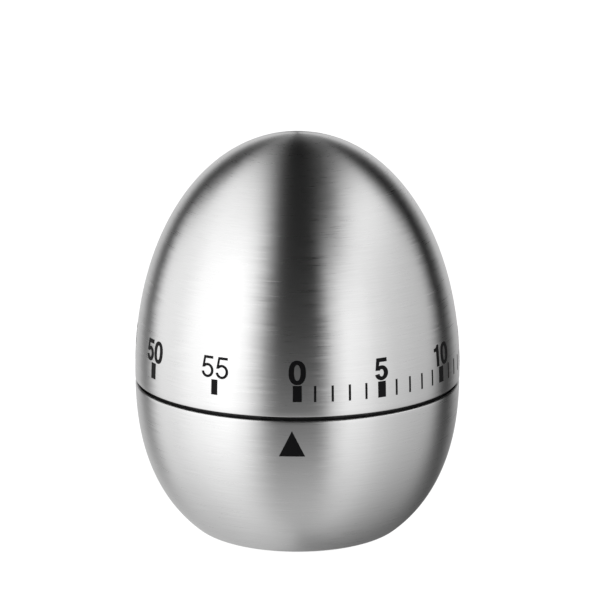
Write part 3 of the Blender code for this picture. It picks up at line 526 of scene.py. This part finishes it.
def printed_mesh(loops, step):
    """A thin flat print from 2D loops, cut into a grid fine enough to wrap."""
    curve = bpy.data.curves.new("print", "CURVE")
    curve.dimensions = "2D"
    curve.fill_mode = "BOTH"
    curve.extrude = PRINT_DEPTH / 2
    for loop in loops:
        spline = curve.splines.new("POLY")
        spline.points.add(len(loop) - 1)
        for point, (x, y) in zip(spline.points, loop):
            point.co = (x, y, 0.0, 1.0)
        spline.use_cyclic_u = True
    holder = bpy.data.objects.new("print", curve)
    bpy.context.scene.collection.objects.link(holder)
    bpy.context.view_layer.update()
    mesh = bpy.data.meshes.new_from_object(holder.evaluated_get(bpy.context.evaluated_depsgraph_get()))
    bpy.data.objects.remove(holder, do_unlink=True)
    bpy.data.curves.remove(curve)
    build = bmesh.new()
    build.from_mesh(mesh)
    bpy.data.meshes.remove(mesh)
    bmesh.ops.remove_doubles(build, verts=build.verts, dist=1e-8)
    for axis in (0, 1):
        values = [vert.co[axis] for vert in build.verts]
        low, high = min(values), max(values)
        normal = Vector([float(index == axis) for index in range(3)])
        for index in range(int(low // step), int(high // step) + 1):
            parts = list(build.verts) + list(build.edges) + list(build.faces)
            bmesh.ops.bisect_plane(build, geom=parts, plane_co=normal * index * step, plane_no=normal, dist=1e-7)
    return build


def surface_table(start, direction, count=600, reach=16.0 * MM):
    """Points along the egg's side from a height, as (length along it, angle)."""
    angle, length = egg_angle(start), 0.0
    table = [(0.0, angle)]
    turn = radians(40) / count * direction
    for _ in range(count):
        r0, z0 = egg_point(angle)
        angle += turn
        r1, z1 = egg_point(angle)
        length += hypot(r1 - r0, z1 - z0)
        table.append((length, angle))
        if length > reach:
            break
    return table


def along(table, length):
    """The outline angle at a length along the side."""
    for (l0, a0), (l1, a1) in zip(table, table[1:]):
        if l1 >= length:
            return a0 + (a1 - a0) * (length - l0) / (l1 - l0)
    return table[-1][1]


def wrap(build, table, middle, upward):
    """Lay a flat print on the egg: x goes round, y along the side, z out of it."""
    reference = egg_point(along(table, abs(upward)))[0]
    for vert in build.verts:
        x, y, lift = vert.co
        angle = along(table, abs(upward + y))
        radius, z = egg_point(angle)
        r2, z2 = egg_point(angle + 0.0005)
        slope = hypot(r2 - radius, z2 - z)
        out_r, out_z = (z2 - z) / slope, -(r2 - radius) / slope
        turn = radians(middle) + x / reference - pi / 2
        radius += lift * out_r
        vert.co = (radius * cos(turn), radius * sin(turn), z + lift * out_z)


def joined(name, builds, body):
    """One inked piece from several wrapped prints, riding on a body."""
    whole = bmesh.new()
    for build in builds:
        mesh = bpy.data.meshes.new("part")
        build.to_mesh(mesh)
        build.free()
        whole.from_mesh(mesh)
        bpy.data.meshes.remove(mesh)
    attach(shade(finish_mesh(whole, name, INK), 30), body)


def rectangle(width, bottom, top):
    return [(-width / 2, bottom), (width / 2, bottom), (width / 2, top), (-width / 2, top)]


def dial_print():
    """The numbers every five minutes, a mark under each, and fine marks up to the quarter hour."""
    table = surface_table(SEAM_HIGH, 1)
    shapes = digit_shapes()
    numbers, marks = [], []

    def lay(loops, grid, place, height):
        """Wrap one flat print at a place in degrees, at a height above the marks' foot."""
        build = printed_mesh(loops, grid)
        wrap(build, table, place, TICK_FOOT + height - SLANT * sin(radians(place)))
        return build

    for minute in range(0, 60, 5):
        light = minute == LIGHT_MINUTE
        tall = ZERO_TALL if minute == 0 else NUMBER_TALL
        place = minute * 6 + (LIGHT_TURN if light else 0.0)
        width, foot_height = (LIGHT_TICK, LIGHT_TICK_FOOT) if light else (WIDE_TICK, 0.0)
        marks.append(lay([rectangle(width, foot_height, TICK_TALL)], TICK_GRID, place, 0.0))
        text = str(minute)
        for index, digit in enumerate(text):
            shift = (index - (len(text) - 1) / 2) * DIGIT_PITCH
            shape = shapes["light 5" if light else digit]
            loops = [[(x * tall + shift, y * tall) for x, y in loop] for loop in shape]
            numbers.append(lay(loops, PRINT_GRID, place, TICK_TALL + NUMBER_GAP))
    for minute in range(1, LAST_FINE_MARK + 1):
        if minute % 5:
            marks.append(lay([rectangle(FINE_TICK, 0.0, TICK_TALL)], TICK_GRID, minute * 6, 0.0))
    joined("dial_numbers", numbers, "dial")
    joined("minute_marks", marks, "dial")


def pointer_print():
    """The triangle under the seam, a little to the left of the front."""
    table = surface_table(SEAM_LOW, -1)
    width, tall, below, place = 4.7 * MM, 4.75 * MM, 1.75 * MM, -1.8
    build = printed_mesh([[(-width / 2, -tall), (width / 2, -tall), (0.0, 0.0)]], PRINT_GRID)
    wrap(build, table, place, -below)
    joined("pointer_mark", [build], "base")


# ---------------------------------------------------------------- click spring
def click_spring():
    """The click's spring as a round wire, shown in place of the CAD one."""
    low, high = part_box("click_spring")
    inset, radius = 0.18 * MM, 0.16 * MM
    left, near, top = low[0] + inset, low[1] + inset, high[2] - inset
    foot_end = Vector((left, near, high[2] - 0.78 * MM))
    shoulder = Vector((left, near, top - 0.1 * MM))
    knee = Vector((left + 0.02 * MM, near + 1.97 * MM, top))
    tip = Vector((high[0] - inset, high[1] - inset, top))
    quarters = (1 / 4, 2 / 4, 3 / 4)
    path = [foot_end, shoulder] + [shoulder.lerp(knee, share) for share in quarters]
    path += [knee] + [knee.lerp(tip, share) for share in quarters] + [tip]
    curve = bpy.data.curves.new("click_spring_wire", "CURVE")
    curve.dimensions = "3D"
    curve.bevel_depth = radius
    curve.bevel_resolution = 3
    curve.use_fill_caps = True
    spline = curve.splines.new("POLY")
    spline.points.add(len(path) - 1)
    for point, where in zip(spline.points, path):
        point.co = (*where, 1.0)
    holder = bpy.data.objects.new("wire", curve)
    mesh = bpy.data.meshes.new_from_object(holder)
    bpy.data.objects.remove(holder, do_unlink=True)
    bpy.data.curves.remove(curve)
    mesh.materials.clear()
    mesh.materials.append(SLOT_FINISH["spring_steel"])
    piece = bpy.data.objects.new("click_spring_wire", mesh)
    bpy.context.scene.collection.objects.link(piece)
    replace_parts(shade(piece), "click_spring")
    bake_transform(piece)


# ---------------------------------------------------------------- studio
def floor():
    """A white floor that the steel does not mirror."""
    build = bmesh.new()
    bmesh.ops.create_circle(build, cap_ends=True, segments=96, radius=6.0)
    material, tree, shader = new_material("studio_floor", (0.30, 0.30, 0.30), 1.0)
    shader.inputs["Emission Color"].default_value = (1.0, 1.0, 1.0, 1.0)
    shader.inputs["Emission Strength"].default_value = 0.95
    piece = finish_mesh(build, "studio_floor", material)
    piece.visible_glossy = False


def ramp(tree, value, stops):
    """Grey levels that ease from one (position, level) stop to the next."""
    made = tree.nodes.new("ShaderNodeValToRGB")
    made.color_ramp.interpolation = "EASE"
    elements = made.color_ramp.elements
    while len(elements) > 1:
        elements.remove(elements[-1])
    elements[0].position, elements[0].color = stops[0][0], (*[stops[0][1]] * 3, 1.0)
    for position, level in stops[1:]:
        elements.new(position).color = (level, level, level, 1.0)
    tree.links.new(value, made.inputs[0])
    return made.outputs["Color"]


def levels(stops, scale, shift=0.0):
    """Ramp stops from (position, brightness) pairs, with brightness 2 as the ramp's full white."""
    return [(position / scale + shift, level / 2) for position, level in stops]


def blend(tree, share, first, second, kind="MIX"):
    made = node(tree, "ShaderNodeMix", data_type="RGBA", blend_type=kind)
    for socket, value in (("Factor", share), ("A", first), ("B", second)):
        if isinstance(value, (float, tuple)):
            made.inputs[socket].default_value = value
        else:
            tree.links.new(value, made.inputs[socket])
    return made.outputs["Result"]


# Brightness of the surroundings, 2 being the brightest. Azimuths are in degrees: 0 is towards the front, negative
# to the left. OVERHEAD runs from the left (-1) to the right (1) over the top.
SIDES = [(-180, 1.3), (-100, 1.3), (-75, 1.7), (-50, 2.0), (-37, 1.7), (-29, 1.05), (-21, 0.3), (-14, 0.03),
         (14, 0.03), (19, 0.35), (26, 1.2), (35, 1.6), (48, 1.4), (60, 1.1), (76, 0.9), (97, 0.8), (180, 0.62)]
OVERHEAD = [(-1.0, 1.45), (-0.55, 1.35), (-0.43, 0.95), (-0.33, 0.42), (-0.22, 0.06), (-0.1, 0.02),
            (0.28, 0.02), (0.38, 0.06), (0.48, 0.30), (0.57, 1.05), (0.70, 1.6), (1.0, 1.6)]
GROUND = [(-180, 0.42), (-165, 0.65), (-140, 0.70), (-115, 0.75), (-95, 0.85), (-70, 1.0), (-50, 0.95),
          (-30, 0.75), (-15, 0.68), (0, 0.70), (15, 0.72), (35, 0.80), (50, 0.82), (70, 0.62), (95, 0.42),
          (115, 0.32), (135, 0.19), (160, 0.15), (180, 0.42)]
BACKDROP_TILT = 0.25       # radians that the backdrop's middle lies below the horizon
TENT_STRENGTH = 2.0


def degree_stops(stops):
    """Ramp stops from (degrees from the backdrop's middle, level) pairs."""
    return [(degrees_away / 180, level) for degrees_away, level in stops]


def tent_colour(tree, direction):
    """What the steel mirrors: soft boxes left and right, a dark strip over the top, a dark ring round the backdrop."""
    part = node(tree, "ShaderNodeSeparateXYZ")
    tree.links.new(direction, part.inputs[0])
    x, y, z = part.outputs["X"], part.outputs["Y"], part.outputs["Z"]
    turn = calc(tree, "ARCTAN2", x, calc(tree, "MULTIPLY", y, -1.0))
    share = calc(tree, "ADD", calc(tree, "DIVIDE", turn, 2 * pi), 0.5)
    low = ramp(tree, share, levels(SIDES, 360, 0.5))
    high = ramp(tree, calc(tree, "ADD", calc(tree, "MULTIPLY", x, 0.5), 0.5), levels(OVERHEAD, 2, 0.5))
    tent = blend(tree, ramp(tree, z, [(0.32, 0.0), (0.75, 1.0)]), low, high)

    middle = (0.0, cos(BACKDROP_TILT), -sin(BACKDROP_TILT))
    depth = vector_math(tree, "DOT_PRODUCT", direction, middle)
    away = calc(tree, "DIVIDE", calc(tree, "ARCCOSINE", depth), pi)
    left = ramp(tree, calc(tree, "ADD", calc(tree, "MULTIPLY", x, 3.0), 0.5), [(0.0, 1.0), (1.0, 0.0)])
    near_floor = ramp(tree, z, [(0.12, 1.0), (0.6, 0.0)])
    reach = calc(tree, "ADD", calc(tree, "MULTIPLY", left, 9 / 180), 8 / 180)
    shift = calc(tree, "SUBTRACT", calc(tree, "MULTIPLY", reach, near_floor), 2 / 180)
    ring = ramp(tree, calc(tree, "ADD", away, shift), degree_stops([(60, 0.0), (79, 1.0)]))
    rim = ramp(tree, away, degree_stops([(0, 0.44), (30, 0.34), (36, 0.20), (42, 0.08), (48, 0.02), (54, 0.0)]))
    fade = ramp(tree, calc(tree, "MULTIPLY", z, -1.0), [(0.15, 1.0), (0.45, 0.12)])
    rim = blend(tree, 1.0, rim, blend(tree, left, fade, (1.0, 1.0, 1.0, 1.0)), "MULTIPLY")
    upper = blend(tree, 1.0, blend(tree, 1.0, tent, ring, "MULTIPLY"), rim, "ADD")

    lower = ramp(tree, share, levels(GROUND, 360, 0.5))
    below = ramp(tree, calc(tree, "MULTIPLY", z, -1.0), [(0.0, 0.0), (0.85, 1.0)])
    return blend(tree, below, upper, lower)


def studio_light():
    """The camera sees a plain white backdrop, and everything else is lit by the tent."""
    world = bpy.data.worlds.new("studio")
    bpy.context.scene.world = world
    world.use_nodes = True
    tree = world.node_tree
    tree.nodes.clear()
    place = node(tree, "ShaderNodeTexCoord")
    tent_light = node(tree, "ShaderNodeBackground", Strength=TENT_STRENGTH)
    tree.links.new(tent_colour(tree, place.outputs["Generated"]), tent_light.inputs["Color"])
    backdrop = node(tree, "ShaderNodeBackground", Color=(1.0, 1.0, 1.0, 1.0), Strength=1.0)
    path = node(tree, "ShaderNodeLightPath")
    choose = node(tree, "ShaderNodeMixShader")
    tree.links.new(path.outputs["Is Camera Ray"], choose.inputs[0])
    tree.links.new(tent_light.outputs[0], choose.inputs[1])
    tree.links.new(backdrop.outputs[0], choose.inputs[2])
    output = node(tree, "ShaderNodeOutputWorld")
    tree.links.new(choose.outputs[0], output.inputs["Surface"])


def camera():
    """Looks a little down on the front, with the object slightly left of and below the middle."""
    distance, tilt = 540 * MM, radians(13.3)
    aim_up, aim_right = 12.9 * MM, 0.48 * MM
    forward = Vector((0.0, cos(tilt), -sin(tilt)))
    upward = Vector((0.0, sin(tilt), cos(tilt)))
    sideways = Vector((1.0, 0.0, 0.0))
    aim = Vector((0.0, 0.0, EQUATOR)) + upward * aim_up + sideways * aim_right
    data = bpy.data.cameras.new("camera")
    data.lens = 174.8
    data.sensor_width = 36.0
    data.clip_start = 0.01
    view = bpy.data.objects.new("camera", data)
    view.matrix_world = Matrix.Translation(aim - forward * distance) @ Matrix(
        (sideways, upward, -forward)).transposed().to_4x4()
    bpy.context.scene.collection.objects.link(view)
    bpy.context.scene.camera = view


bpy.context.scene.view_settings.view_transform = "Standard"
camera()
finish_cad_nodes()
dial_skin()
base_skin()
foot()
cover()
cover_screws()
dial_print()
pointer_print()
click_spring()
floor()
studio_light()
